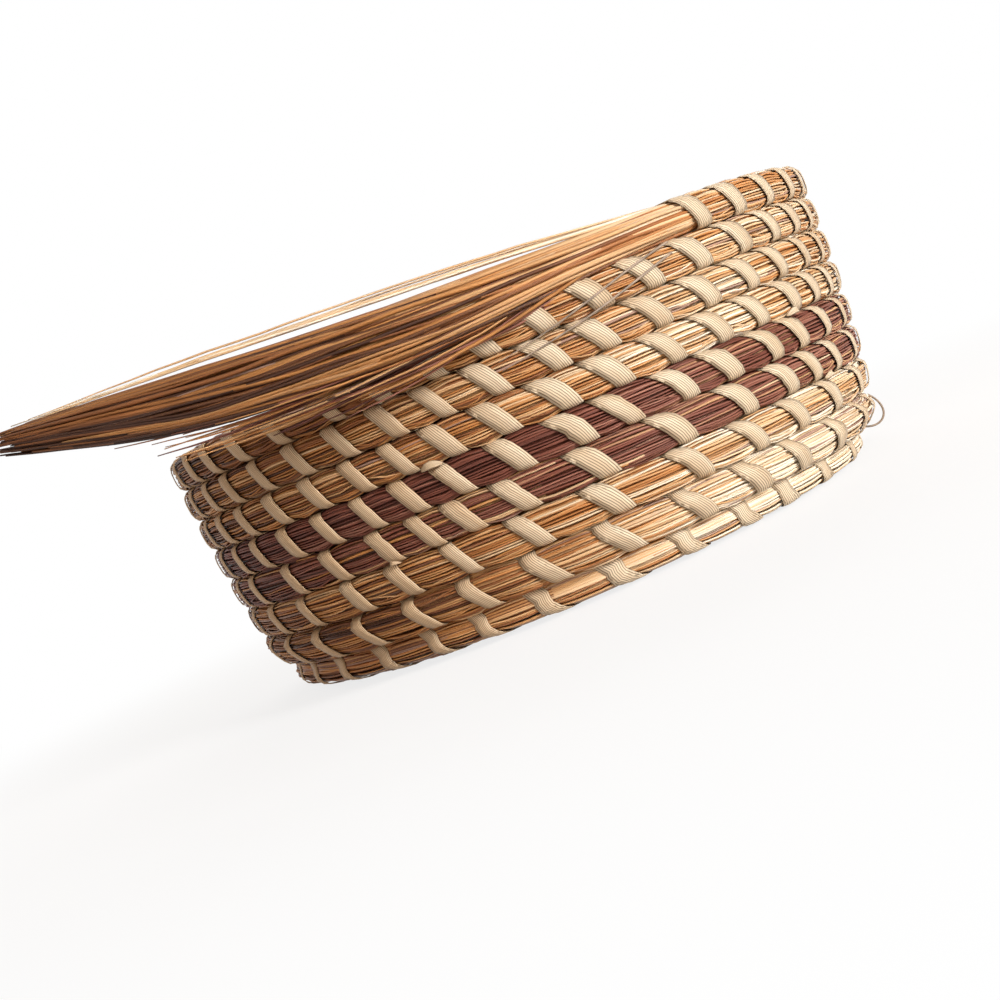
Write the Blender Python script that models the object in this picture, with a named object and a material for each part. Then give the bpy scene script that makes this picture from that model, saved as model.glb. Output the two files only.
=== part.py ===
"""Coiled basket of grass bundle sewn with strips of palm leaf, with its working end still loose.

The coil starts at a knot in the middle of the base, winds outwards flat, turns the corner and climbs
the wall. Places on it are counted in turns back from the last stitch: 0 is the last stitch at the rim,
WALL_TURNS is about the foot of the wall, and the largest value lies beside the knot.
"""
import math

import bmesh
import bpy
from mathutils import Vector

# Basket, in metres
RIM_RADIUS = 0.08275         # axis to the middle of the coil at the rim
WALL_TAPER = 0.0062          # how much closer the wall stands to the axis at its foot
ROW_PITCH = 0.0080           # from one row of the coil to the next
CLEARANCE = 0.0003           # between pieces that touch
KNOT_RADIUS = 0.0110
KNOT_CROWN = 0.0005          # how far the knot's middle stands above its edge

# Sewing strips
STRIP_WIDTH = 0.00465        # along the coil
STRIP_THICKNESS = 0.0003
SIDE_CLEARANCE = 0.00045     # under a strip at the outer and inner face, where the coil bends under it

# Loose working end and its stray blades
FREE_LENGTH = 0.150
FREE_RISE = 0.0133           # how far its tip is lifted above its root
BUNDLE_HALF_HEIGHT = 0.0049
BUNDLE_HALF_WIDTH = 0.0043
BLADE_RADIUS = 0.0005
UPPER_BLADE_ARCH = 0.0035    # how far the upper stray blade arches away from the bundle
LOWER_BLADE_DROP = 0.0050
CROSS_STRAND_DROP = 0.0085   # from one end of a cross strand down to the other
CROSS_STRAND_STEP = 0.0024   # between the two cross strands
LOOP_REACH = 0.0040          # how far the strand loop stands out of the wall

# Counts and angles
WALL_TURNS = 7.92            # height of the wall, counted in rows
END_ANGLE = math.radians(-56)
POINTS_PER_TURN = 24
STITCHES_PER_TURN = 32
STITCHES_PER_STRIP = 16
STITCHES_PER_BASE_STRIP = 11
WALL_STRIPS = 17
BASE_STRIPS = 8
LOOP_STITCHES = 7 * STITCHES_PER_TURN + 4.5   # stitches back from the last one to the strand loop
FREE_BEND = math.radians(34)  # how far the working end swings back from the tangent
BUNDLE_SIDES = 10
BUNDLE_STEPS = 16
ROUTE_STEPS = 64
BLADE_SIDES = 4
BLADE_STEPS = 12
KNOT_SIDES = 24
SHARP_ANGLE = math.radians(50)

# Where things happen along the coil, in turns back from the last stitch
DARK_BAND_START_TURNS = 3.40
DARK_BAND_END_TURNS = 5.35
BASE_START_TURNS = 8.42
CORNER_START_TURNS = WALL_TURNS - 1.42   # the coil starts to tuck in
CORNER_END_TURNS = WALL_TURNS + 0.28     # it runs inwards a whole row per turn
FLOOR_EASE_TURNS = 0.5                   # half the stretch over which its climb fades out
WALL_SPAN_TURNS = 8.0                    # turns over which the taper is measured
CROSS_STRAND_START_TURNS = 0.985
CROSS_STRAND_END_TURNS = 0.905

# Sizes that follow
HALF_ROW = (ROW_PITCH - CLEARANCE) / 2
COIL_HALF_HEIGHT = HALF_ROW - STRIP_THICKNESS - CLEARANCE
COIL_HALF_WIDTH = HALF_ROW - STRIP_THICKNESS - SIDE_CLEARANCE
BASE_HEIGHT = HALF_ROW
END_HEIGHT = BASE_HEIGHT + WALL_TURNS * ROW_PITCH
TOP_FLAT_SHARE = 0.4         # width of the coil's flat top as a share of its whole width

# Corners of the coil's six-sided section, outer face first and upwards, as shares of half width and height
SECTION_SHARES = ((1, 0), (TOP_FLAT_SHARE, 1), (-TOP_FLAT_SHARE, 1),
                  (-1, 0), (-TOP_FLAT_SHARE, -1), (TOP_FLAT_SHARE, -1))

# Along the working end: share of its length, of its greatest half width, and of its greatest half height
BUNDLE_SHARES = ((0.0, 0.70, 0.64), (0.12, 0.78, 0.76), (0.30, 0.97, 0.95), (0.48, 1.0, 1.0),
                 (0.70, 0.92, 0.98), (0.85, 0.66, 0.74), (0.95, 0.42, 0.46), (1.0, 0.22, 0.24))
FREE_BEND_SHARE = 0.75       # share of the free length by which it has swung back
FREE_RISE_POWER = 2.2        # it lifts late, towards its tip
NOSE_ANGLES = (15, 35, 60)   # degrees round the hinge from the coil's side, where its nose has sections

# Stray blades: share of the free length where each starts, where it ends, place round the bundle in
# degrees from its outer side, and share of the greatest drop
UPPER_BLADE_SHARES = (0.02, 0.92, 95)
LOWER_BLADE_SHARES = ((0.30, 0.86, -30, 0.55), (0.36, 0.80, -52, 1.0), (0.42, 0.92, -75, 0.8))
BLADE_FALL_POWER = 1.5
BLADE_TIP_SHARE = 0.5        # thickness of a loose blade's tip

# The knot's outline from its underside to its crown, as shares of its radius and of a row's height
KNOT_SHARES = ((0.72, 0.0), (0.93, 0.14), (1.0, 0.45), (0.92, 0.80), (0.66, 0.97), (0.30, 1.0))

GRASS = (0.56, 0.33, 0.12)
DARK_GRASS = (0.16, 0.07, 0.055)
STRIP = (0.76, 0.64, 0.46)
GREY_GRASS = (0.33, 0.25, 0.18)


def clear_scene():
    for obj in list(bpy.data.objects):
        bpy.data.objects.remove(obj, do_unlink=True)


def make_material(name, color, roughness):
    material = bpy.data.materials.new(name)
    material.use_nodes = True
    shader = material.node_tree.nodes["Principled BSDF"]
    shader.inputs["Base Color"].default_value = (*color, 1)
    shader.inputs["Roughness"].default_value = roughness
    shader.inputs["Metallic"].default_value = 0
    return material


def add_piece(name, bodies, material, parent=None):
    """Make one object from rings of points; each body is a list of rings with as many points each."""
    mesh = bpy.data.meshes.new(name)
    bm = bmesh.new()
    origin = parent.location if parent else Vector((0, 0, 0))
    for rings in bodies:
        loops = [[bm.verts.new(point - origin) for point in ring] for ring in rings]
        sides = len(loops[0])
        for lower, upper in zip(loops, loops[1:]):
            for i in range(sides):
                j = (i + 1) % sides
                bm.faces.new((lower[i], lower[j], upper[j], upper[i]))
        bm.faces.new(loops[0])
        bm.faces.new(loops[-1])
    bmesh.ops.recalc_face_normals(bm, faces=bm.faces)
    bmesh.ops.triangulate(bm, faces=bm.faces)
    bm.to_mesh(mesh)
    bm.free()
    mesh.materials.append(material)
    mesh.shade_smooth()
    mesh.set_sharp_from_angle(angle=SHARP_ANGLE)
    obj = bpy.data.objects.new(name, mesh)
    bpy.context.collection.objects.link(obj)
    obj.parent = parent
    return obj


def table_value(table, share, column):
    """Read a column of a table of shares, with straight steps between its lines."""
    for low, high in zip(table, table[1:]):
        if share <= high[0]:
            part = (share - low[0]) / (high[0] - low[0])
            return low[column] + (high[column] - low[column]) * part
    return table[-1][column]


# The coil's course

def wall_rate(turns):
    return 2 * WALL_TAPER * turns / WALL_SPAN_TURNS ** 2


def coil_radius(turns):
    """Distance from the axis: a tapering wall, then inwards ever faster, then one row per turn."""
    wall_part = min(turns, CORNER_START_TURNS)
    radius = RIM_RADIUS - WALL_TAPER * (wall_part / WALL_SPAN_TURNS) ** 2
    start_rate = wall_rate(CORNER_START_TURNS)
    corner = CORNER_END_TURNS - CORNER_START_TURNS
    corner_part = min(max(turns - CORNER_START_TURNS, 0), corner)
    radius -= start_rate * corner_part + (ROW_PITCH - start_rate) * corner_part ** 2 / (2 * corner)
    return radius - ROW_PITCH * max(turns - CORNER_END_TURNS, 0)


def coil_height(turns):
    """Height of the coil's middle: one row per turn, fading out at the base."""
    left = WALL_TURNS + FLOOR_EASE_TURNS - turns
    if left <= 0:
        return BASE_HEIGHT
    if left >= 2 * FLOOR_EASE_TURNS:
        return END_HEIGHT - ROW_PITCH * turns
    return BASE_HEIGHT + ROW_PITCH * left ** 2 / (4 * FLOOR_EASE_TURNS)


def coil_middle(turns):
    angle = END_ANGLE + math.tau * turns
    radius = coil_radius(turns)
    return Vector((radius * math.cos(angle), radius * math.sin(angle), coil_height(turns)))


def coil_station(index):
    """Middle of the coil at one of its points, and the way out of the basket there."""
    before, here, after = (coil_middle((index + step) / POINTS_PER_TURN) for step in (-1, 0, 1))
    along_in = (here - before).to_2d().normalized()
    along_out = (after - here).to_2d().normalized()
    along = (along_in + along_out).normalized()
    outwards = Vector((along.y, -along.x, 0)) / along.dot(along_in)
    return here, outwards


def coil_point(turns, out, up):
    """Point beside the coil, on the straight run between two of its points."""
    index = math.floor(turns * POINTS_PER_TURN)
    part = turns * POINTS_PER_TURN - index
    here, out_here = coil_station(index)
    there, out_there = coil_station(index + 1)
    point = (here + out_here * out).lerp(there + out_there * out, part)
    point.z += up
    return point


def coil_ring(turns):
    return [coil_point(turns, side * COIL_HALF_WIDTH, height * COIL_HALF_HEIGHT)
            for side, height in SECTION_SHARES]


def coil_rings(start, end):
    """Sections of one stretch of the coil, half the clearance short of each end."""
    gap = CLEARANCE / 2 / math.tau
    first = start + gap / coil_radius(start)
    last = end - gap / coil_radius(end)
    stations = [index / POINTS_PER_TURN
                for index in range(math.ceil(first * POINTS_PER_TURN), math.ceil(last * POINTS_PER_TURN))]
    if stations[0] > first:
        stations.insert(0, first)
    return [coil_ring(turns) for turns in (*stations, last)]


def base_end():
    """Turns at which the coil, running inwards, reaches the knot."""
    inner_radius = KNOT_RADIUS + CLEARANCE + HALF_ROW
    return CORNER_END_TURNS + (coil_radius(CORNER_END_TURNS) - inner_radius) / ROW_PITCH


def least_gap(stretches):
    """Least distance between points of the coil's sections in one row and in the next."""
    rings = [ring for stretch in stretches for ring in stretch]
    half_turn = POINTS_PER_TURN // 2
    least = ROW_PITCH
    for i, ring in enumerate(rings):
        middles = [(a + b) / 2 for a, b in zip(ring, ring[1:] + ring[:1])]
        for other in rings[i + half_turn:i + POINTS_PER_TURN + half_turn]:
            for point in ring + middles:
                least = min(least, min((point - mate).length for mate in other))
    return least


# Sewing strips

def strip_ring(turns, corner):
    """Three points across a strip where it passes one corner of the coil's section: its edges, and the
    middle of its underside."""
    side, height = SECTION_SHARES[corner % len(SECTION_SHARES)]
    half = STRIP_WIDTH / 2 / (math.tau * coil_radius(turns))
    edges = [coil_point(turns + step, side * HALF_ROW, height * HALF_ROW) for step in (-half, half)]
    outer = coil_point(turns, side * HALF_ROW, height * HALF_ROW)
    inside = HALF_ROW - STRIP_THICKNESS
    inner = coil_point(turns, side * inside, height * inside)
    return [*edges, (edges[0] + edges[1]) / 2 + inner - outer]


def stitch_turns(number):
    """Where the middle of a wall stitch's outer face lies, counted from the last stitch."""
    return STRIP_WIDTH / (math.tau * RIM_RADIUS) + number / STITCHES_PER_TURN


def base_stitch_turns(number):
    """Where a base stitch lies, counted from the wall's first stitch inwards; all are as far apart."""
    start = stitch_turns(WALL_STRIPS * STITCHES_PER_STRIP)
    limit = base_end() - STRIP_WIDTH / (math.tau * coil_radius(base_end()))
    outer, inner = coil_radius(start), coil_radius(limit)
    swept = (outer ** 2 - inner ** 2) * number / (BASE_STRIPS * STITCHES_PER_BASE_STRIP)
    return start + (outer - math.sqrt(outer ** 2 - swept)) / ROW_PITCH


def add_strip(name, turns_at, last, stitches, material):
    """Wind a strip round the coil for some stitches, from the base towards the working end."""
    corners = len(SECTION_SHARES)
    rings = [strip_ring(turns_at(last - step / corners), step) for step in range(stitches * corners)]
    add_piece(name, [rings], material)


def add_wall_strips(material):
    """Strips on the wall, laid out from the last stitch backwards."""
    for number in range(1, WALL_STRIPS + 1):
        add_strip(f"wall_strip_{number:02d}", stitch_turns, number * STITCHES_PER_STRIP,
                  STITCHES_PER_STRIP, material)


def add_base_strips(material):
    """Strips on the base, laid out from the wall inwards to the knot."""
    for number in range(1, BASE_STRIPS + 1):
        add_strip(f"base_strip_{number:02d}", base_stitch_turns, number * STITCHES_PER_BASE_STRIP,
                  STITCHES_PER_BASE_STRIP, material)


# Knot, working end and loose blades

def add_knot(material):
    """Snail-shaped knot: it fills the first loop of the coil, whose end butts against the knot's step."""
    last = base_end()
    step_angle = END_ANGLE + math.tau * last + CLEARANCE / KNOT_RADIUS
    rings = []
    for width, level in KNOT_SHARES:
        ring = []
        for i in range(KNOT_SIDES + 1):
            turned = i / KNOT_SIDES
            radius = width * (KNOT_RADIUS + ROW_PITCH * turned)
            angle = step_angle - math.tau * turned
            ring.append(Vector((radius * math.cos(angle), radius * math.sin(angle),
                                level * 2 * HALF_ROW + (KNOT_CROWN if level == 1 else 0))))
        rings.append(ring)
    return add_piece("start_knot", [rings], material)


def hinge_place():
    """Place where the working end bends, just past the coil's end, and the coil's direction there."""
    along = Vector((math.sin(END_ANGLE), -math.cos(END_ANGLE), 0))
    return coil_point(0, 0, 0) + along * (COIL_HALF_WIDTH + CLEARANCE), along


def bundle_frame(share):
    """Middle of the working end at a share of its length, and its outward side."""
    place, along = hinge_place()
    heading = math.atan2(along.y, along.x)
    step = FREE_LENGTH / ROUTE_STEPS
    turned = heading
    for i in range(round(share * ROUTE_STEPS)):
        done = min((i + 0.5) / ROUTE_STEPS / FREE_BEND_SHARE, 1)
        turned = heading - FREE_BEND * (1 - (1 - done) ** 2)
        place = place + Vector((math.cos(turned), math.sin(turned), 0)) * step
    place.z += FREE_RISE * share ** FREE_RISE_POWER
    return place, Vector((-math.sin(turned), math.cos(turned), 0))


def bundle_size(share):
    return (BUNDLE_HALF_WIDTH * table_value(BUNDLE_SHARES, share, 1),
            BUNDLE_HALF_HEIGHT * table_value(BUNDLE_SHARES, share, 2))


def beside_bundle(share, angle, lift):
    """Point that stands off the working end by lift, at an angle round it from its outward side."""
    place, outwards = bundle_frame(share)
    width, height = bundle_size(share)
    point = place + outwards * (math.cos(angle) * (width + lift))
    point.z += math.sin(angle) * (height + lift)
    return point


def add_working_end(material, pivot):
    """Loose bundle: a nose rounded about the hinge, then the spread and tapering blades."""
    place, along = hinge_place()
    outwards = Vector((-along.y, along.x, 0))
    width, height = bundle_size(0)
    rings = []
    for nose_angle in NOSE_ANGLES:
        back = math.cos(math.radians(nose_angle))
        spread = math.sin(math.radians(nose_angle))
        rings.append([place - along * (width * back) + outwards * (math.cos(angle) * width * spread)
                      + Vector((0, 0, math.sin(angle) * height)) for angle in round_angles()])
    for i in range(BUNDLE_STEPS + 1):
        rings.append([beside_bundle(i / BUNDLE_STEPS, angle, 0) for angle in round_angles()])
    return add_piece("working_end", [rings], material, pivot)


def round_angles():
    return [math.tau * i / BUNDLE_SIDES for i in range(BUNDLE_SIDES)]


def blade_rings(points, radius, level=Vector((0, 0, 1))):
    """Sections of a thin blade along points that never run along level, square to it, thin at the end."""
    rings = []
    for i, point in enumerate(points):
        ahead = points[min(i + 1, len(points) - 1)]
        behind = points[max(i - 1, 0)]
        along = (ahead - behind).normalized()
        side = along.cross(level).normalized()
        rise = side.cross(along)
        size = radius * (1 - (1 - BLADE_TIP_SHARE) * i / (len(points) - 1))
        rings.append([point + (side * math.cos(math.tau * k / BLADE_SIDES)
                               + rise * math.sin(math.tau * k / BLADE_SIDES)) * size
                      for k in range(BLADE_SIDES)])
    return rings


def add_stray_blades(material, pivot):
    touching = CLEARANCE + BLADE_RADIUS
    start, end, angle = UPPER_BLADE_SHARES
    points = []
    for i in range(BLADE_STEPS + 1):
        share = i / BLADE_STEPS
        arch = UPPER_BLADE_ARCH * math.sin(math.pi * share)
        points.append(beside_bundle(start + (end - start) * share, math.radians(angle), touching + arch))
    add_piece("upper_stray_blade", [blade_rings(points, BLADE_RADIUS)], material, pivot)
    for number, (start, end, angle, drop) in enumerate(LOWER_BLADE_SHARES, 1):
        points = []
        for i in range(BLADE_STEPS + 1):
            share = i / BLADE_STEPS
            lift = touching + LOWER_BLADE_DROP * drop * share ** BLADE_FALL_POWER
            points.append(beside_bundle(start + (end - start) * share, math.radians(angle), lift))
        add_piece(f"lower_stray_blade_{number}", [blade_rings(points, BLADE_RADIUS)], material, pivot)


def add_cross_strands(material):
    """Two thin strands that lie on the strips of the rows below the working end."""
    out = HALF_ROW + CLEARANCE + BLADE_RADIUS
    for number in (1, 2):
        top = COIL_HALF_HEIGHT - (number - 1) * CROSS_STRAND_STEP
        points = []
        for i in range(BLADE_STEPS + 1):
            share = i / BLADE_STEPS
            turns = CROSS_STRAND_START_TURNS + (CROSS_STRAND_END_TURNS - CROSS_STRAND_START_TURNS) * share
            point = coil_point(turns, out, 0)
            point.z = coil_height(CROSS_STRAND_START_TURNS) + top - CROSS_STRAND_DROP * share
            points.append(point)
        add_piece(f"cross_strand_{number}", [blade_rings(points, BLADE_RADIUS)], material)


def add_strand_loop(material):
    """Strand that comes out between two rows, loops out over one row and tucks in below it."""
    turns = stitch_turns(LOOP_STITCHES)
    half = ROW_PITCH / 2
    half_stitch = 0.5 / STITCHES_PER_TURN
    foot = TOP_FLAT_SHARE * HALF_ROW + BLADE_RADIUS
    points = []
    for i in range(BLADE_STEPS + 1):
        angle = math.pi * (i / BLADE_STEPS - 0.5)
        reach = (HALF_ROW + LOOP_REACH - foot) * math.cos(angle)
        points.append(coil_point(turns, foot + reach, -half * math.sin(angle)))
    level = (coil_middle(turns - half_stitch) - coil_middle(turns + half_stitch)).normalized()
    add_piece("strand_loop", [blade_rings(points, BLADE_RADIUS, level)], material)


def build():
    clear_scene()
    grass = make_material("golden_grass", GRASS, 0.55)
    dark = make_material("dark_grass", DARK_GRASS, 0.55)
    strip = make_material("palm_strip", STRIP, 0.6)
    grey = make_material("grey_strand", GREY_GRASS, 0.6)

    add_knot(grass)
    coils = [coil_rings(BASE_START_TURNS, base_end())]
    add_piece("base_coil", coils, grass)
    stretches = (("lower_wall_row", DARK_BAND_END_TURNS, BASE_START_TURNS, grass),
                 ("dark_band_row", DARK_BAND_START_TURNS, DARK_BAND_END_TURNS, dark),
                 ("upper_wall_row", 0, DARK_BAND_START_TURNS, grass))
    for name, start, end, material in stretches:
        rows = math.ceil(end - start)
        for number in range(rows):
            length = (end - start) / rows
            rings = coil_rings(end - (number + 1) * length, end - number * length)
            coils.insert(0, rings)
            add_piece(f"{name}_{number + 1}", [rings], material)
    print("least gap between rows of the coil, mm:", round(least_gap(coils) * 1000, 2))

    add_wall_strips(strip)
    add_base_strips(strip)

    place, _ = hinge_place()
    pivot = bpy.data.objects.new("working_end_pivot", None)
    pivot.location = place
    bpy.context.collection.objects.link(pivot)
    add_working_end(grass, pivot)
    add_stray_blades(grass, pivot)
    add_cross_strands(grey)
    add_strand_loop(grey)
    bpy.context.view_layer.update()
    print("hinge at", tuple(round(value, 6) for value in place))


build()
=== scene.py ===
import math

import bmesh
import bpy
import numpy as np
from mathutils import Matrix, Vector


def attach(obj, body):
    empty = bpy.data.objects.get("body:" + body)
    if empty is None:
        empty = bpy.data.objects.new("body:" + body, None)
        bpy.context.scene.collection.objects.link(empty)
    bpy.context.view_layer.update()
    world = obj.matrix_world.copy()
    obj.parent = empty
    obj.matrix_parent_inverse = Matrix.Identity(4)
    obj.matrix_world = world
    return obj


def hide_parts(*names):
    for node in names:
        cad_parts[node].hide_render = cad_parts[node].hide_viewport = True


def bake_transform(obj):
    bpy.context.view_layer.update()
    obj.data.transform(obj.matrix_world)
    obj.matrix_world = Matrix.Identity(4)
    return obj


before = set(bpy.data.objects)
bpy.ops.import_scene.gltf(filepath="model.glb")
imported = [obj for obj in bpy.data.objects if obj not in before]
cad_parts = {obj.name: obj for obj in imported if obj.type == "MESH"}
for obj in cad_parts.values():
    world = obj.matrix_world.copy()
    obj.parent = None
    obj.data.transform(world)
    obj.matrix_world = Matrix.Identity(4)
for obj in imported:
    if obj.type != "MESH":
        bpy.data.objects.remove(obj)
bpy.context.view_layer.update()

# The coil's course, counted in turns back from the last stitch at the rim
coil = {
    "rimRadius": 0.08275, "wallTaper": 0.0062, "rowPitch": 0.0080, "endAngle": math.radians(-56),
    "baseHeight": 0.00385, "wallTurns": 7.92, "wallSpan": 8.0, "floorEase": 0.5,
    "cornerStart": 6.50, "cornerEnd": 8.20,
    "darkStart": 3.40, "darkEnd": 5.35, "baseStart": 8.42,
    "knotStart": 15.08,      # where the base meets the start knot
    "coilEnd": 16.80,        # innermost point of the knot
    # over half a turn rows get flatter, grass and strips by these shares
    "flatStart": 7.9, "flatOver": 0.5, "grassFlatter": 0.12, "stripsFlatter": 0.07,
    # here the next row starts to lie beside the last one, no longer below
    "levelStart": 14.6, "levelOver": 0.8,
    "squarePower": 3.5,      # 2 would be a round section; the rows press each other square
}


def courseRadius(turns):
    wallPart = np.minimum(turns, coil["cornerStart"])
    radius = coil["rimRadius"] - coil["wallTaper"] * (wallPart / coil["wallSpan"]) ** 2
    startRate = 2 * coil["wallTaper"] * coil["cornerStart"] / coil["wallSpan"] ** 2
    corner = coil["cornerEnd"] - coil["cornerStart"]
    cornerPart = np.clip(turns - coil["cornerStart"], 0, corner)
    radius = radius - startRate * cornerPart - (coil["rowPitch"] - startRate) * cornerPart ** 2 / (2 * corner)
    return radius - coil["rowPitch"] * np.maximum(turns - coil["cornerEnd"], 0)


def courseHeight(turns):
    ease = coil["floorEase"]
    left = coil["wallTurns"] + ease - turns
    eased = coil["rowPitch"] * np.clip(left, 0, 2 * ease) ** 2 / (4 * ease)
    return coil["baseHeight"] + eased + coil["rowPitch"] * np.maximum(left - 2 * ease, 0)


def coursePoint(turns):
    turns = np.asarray(turns, float)
    angle = coil["endAngle"] + math.tau * turns
    radius = courseRadius(turns)
    return np.stack([radius * np.cos(angle), radius * np.sin(angle), courseHeight(turns)], -1)


def unit(vectors):
    return vectors / np.linalg.norm(vectors, axis=-1, keepdims=True)


def lengthsAlong(points):
    return np.concatenate([[0], np.cumsum(np.linalg.norm(np.diff(points, axis=0), axis=1))])


# along the coil, out of the basket's face, and towards the next row
def courseFrame(turns):
    turns = np.asarray(turns, float)
    along = unit(coursePoint(turns + 0.001) - coursePoint(turns - 0.001))
    below = coursePoint(turns) - coursePoint(np.minimum(turns + 1, coil["coilEnd"] + 0.45))
    flat = np.stack([along[..., 1], -along[..., 0], np.zeros(turns.shape)], -1)
    inward = np.clip((turns - coil["levelStart"]) / coil["levelOver"], 0, 1)[..., None]
    stack = unit(below) * (1 - inward) + flat * inward
    stack = unit(stack - along * np.sum(stack * along, -1, keepdims=True))
    return along, np.cross(along, stack), stack


def besideRow(turns, out, up):
    _, faceOut, stackUp = courseFrame(turns)
    return coursePoint(turns) + faceOut * out[:, None] + stackUp * up[:, None]


def flattenAt(turns, share):
    return 1 - share * np.clip((turns - coil["flatStart"]) / coil["flatOver"], 0, 1)


# Where the stitches cross the middle of each row's outer face, in degrees, from the rim downwards
stitchColumns = {
    1: (-54.6, -46.3, -37.5, -28),
    2: (-126, -115.5, -108, -100, -92.5, -84, -75.5, -67, -58, -48.5, -40, -32),
    3: (-124, -116, -108, -101, -93, -84, -77, -68, -59, -50, -42, -33),
    4: (-124, -116, -109, -102, -94, -85, -77, -68, -59, -51, -41.5, -34, -26),
    5: (-125, -117, -110, -103, -94, -84.5, -78, -68, -60, -50, -43, -34),
    6: (-150, -137, -127, -117, -110, -104, -96, -84, -71, -59, -49, -42, -34),
    7: (-149, -138, -126, -117, -107, -96, -84, -70, -59, -49, -38, -25),
    8: (-150, -139, -128, -117, -107, -96, -84, -71, -60, -50, -38, -25),
    9: (-151, -140, -128, -117, -108, -97, -84, -72, -60, -51, -39, -24),
}
# steps and jitter in degrees behind the photographed part; on the base a spacing that shrinks towards the knot
stitching = {
    "closeStep": 8.4, "wideStep": 11.3, "closeRows": 5, "jitter": 0.7, "seed": 4,
    "baseSpacing": 0.0155, "baseJitter": (0.93, 1.07), "leastShare": 0.45, "shrinkRadius": 0.045, "endGap": 0.12,
    "band": 0.17,            # a strip crosses the outside from this far above the middle to as far below, in turns
    "bow": 0.55,
    "mostSlant": 0.62,
}


def layOutStitches():
    s = stitching
    chance = np.random.default_rng(s["seed"])
    degrees = []
    for row, angles in stitchColumns.items():
        front = [angle + 56 + 360 * (row - 1) for angle in angles]
        if degrees:
            step = s["closeStep"] if row <= s["closeRows"] else s["wideStep"]
            if row == s["closeRows"] + 1:
                step = (s["closeStep"] + s["wideStep"]) / 2
            gap = front[0] - degrees[-1]
            count = round(gap / step)
            behind = degrees[-1] + gap * np.arange(1, count) / count
            degrees += list(behind + chance.uniform(-s["jitter"], s["jitter"], count - 1))
        degrees += front
    turns = [value / 360 for value in degrees]
    while turns[-1] < coil["coilEnd"] - s["endGap"]:
        radius = courseRadius(turns[-1])
        spacing = s["baseSpacing"] * min(1, s["leastShare"] + radius / s["shrinkRadius"])
        turns.append(turns[-1] + spacing * chance.uniform(*s["baseJitter"]) / (math.tau * radius))
    return np.array(turns)


stitchTurns = layOutStitches()


# stitch number at a place on the coil, 0 at the last stitch, and the other way round
def stitchPhase(turns):
    numbers = np.arange(len(stitchTurns))
    phase = np.interp(turns, stitchTurns, numbers)
    lead = np.minimum(turns - stitchTurns[0], 0) / (stitchTurns[1] - stitchTurns[0])
    tail = np.maximum(turns - stitchTurns[-1], 0) / (stitchTurns[-1] - stitchTurns[-2])
    return phase + lead + tail


def phaseTurns(phase):
    numbers = np.arange(len(stitchTurns))
    turns = np.interp(phase, numbers, stitchTurns)
    lead = np.minimum(phase, 0) * (stitchTurns[1] - stitchTurns[0])
    tail = np.maximum(phase - numbers[-1], 0) * (stitchTurns[-1] - stitchTurns[-2])
    return turns + lead + tail


def stitchSpacing(turns):
    rate = (stitchPhase(turns + 0.012) - stitchPhase(turns - 0.012)) / 0.024
    return math.tau * courseRadius(turns) / rate


# how far a strip has run on, in stitches, at a place round the row: 0 outside, 0.25 towards the next row
def stripAdvance(around, slantShare):
    band, bow = stitching["band"], stitching["bow"]
    fall = np.clip((band - around) / (2 * band), 0, 1)
    outside = slantShare * ((1 + bow) * fall - bow * fall ** 2) - slantShare / 2
    rest = 0.5 - slantShare / 2
    return outside - rest * np.clip((around - 0.25) / 0.25, 0, 1) + rest * np.clip((-0.25 - around) / 0.25, 0, 1)


# how far out the squarish section reaches, compared with a round one
def squareness(angle):
    power = coil["squarePower"]
    return (np.abs(np.cos(angle)) ** power + np.abs(np.sin(angle)) ** power) ** (-1 / power)


# share of dark blades along the coil
darkPlaces = (3.33, 3.47, 4.62, 4.74, 4.89, 4.94, 5.28, 5.42)
darkShares = (0, 1, 1, 0.6, 0.6, 0.95, 1, 0)
# painted light and shade: how pale the grass is round the basket, by angle in degrees, and along the working end;
# pale where the lamp falls, deep on the shaded side, and the strips take the same
paleAngles = (-180, -150, -112, -84, -60, -40, -20, 30, 90, 150, 180)
paintedLightShares = (0.10, 0.00, 0.16, 0.48, 0.74, 1.00, 1.05, 0.75, 0.50, 0.25, 0.10)
# strips are narrower and steeper at the left and right: share of their width, and how far they lean
stripShares = (0.82, 0.76, 0.77, 0.97, 0.99, 0.87, 0.82, 0.85, 0.90, 0.90, 0.82)
stripLeans = (0.0046, 0.0041, 0.0044, 0.0064, 0.0064, 0.0055, 0.0048, 0.0052, 0.0056, 0.0052, 0.0046)


def degreesAt(turns):
    return (math.degrees(coil["endAngle"]) + 360 * np.asarray(turns) + 180) % 360 - 180


def roundTheWall(turns, shares):
    return np.interp(degreesAt(turns), paleAngles, shares)


def slantAt(turns):
    lean = roundTheWall(turns, stripLeans) * np.interp(turns, (0, 0.05), (0.82, 1))
    return np.minimum(lean / stitchSpacing(turns), stitching["mostSlant"])


# painted light: the lower rows are paler at the right, the upper ones a little deeper; and pale patches right of the
# front
paintedLightRows = {"turns": (0, 3, 5.4, 8, 9), "gains": (0.86, 0.86, 1.2, 1.4, 1.0)}
palePatch = {"turns": (1.6, 2.1, 3.35, 3.5, 5.4, 6.0, 8.0, 8.4), "adds": (0, 0.6, 0.6, 0, 0, 0.4, 0.4, 0),
             "middle": -58, "width": 13}


# paleness at a place on the coil: the pale patches plus the painted light and shade round the wall
def paintedLightAndPatchesAt(turns):
    patch = np.interp(turns, palePatch["turns"], palePatch["adds"])
    patch = patch * np.exp(-((degreesAt(turns) - palePatch["middle"]) / palePatch["width"]) ** 2)
    return patch + roundTheWall(turns, paintedLightShares) * np.interp(turns, paintedLightRows["turns"], paintedLightRows["gains"])


print("course laid out,", len(stitchTurns), "stitches")


# Node trees: one is built at a time, and its values are written in sums like numbers
building = {}


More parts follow.
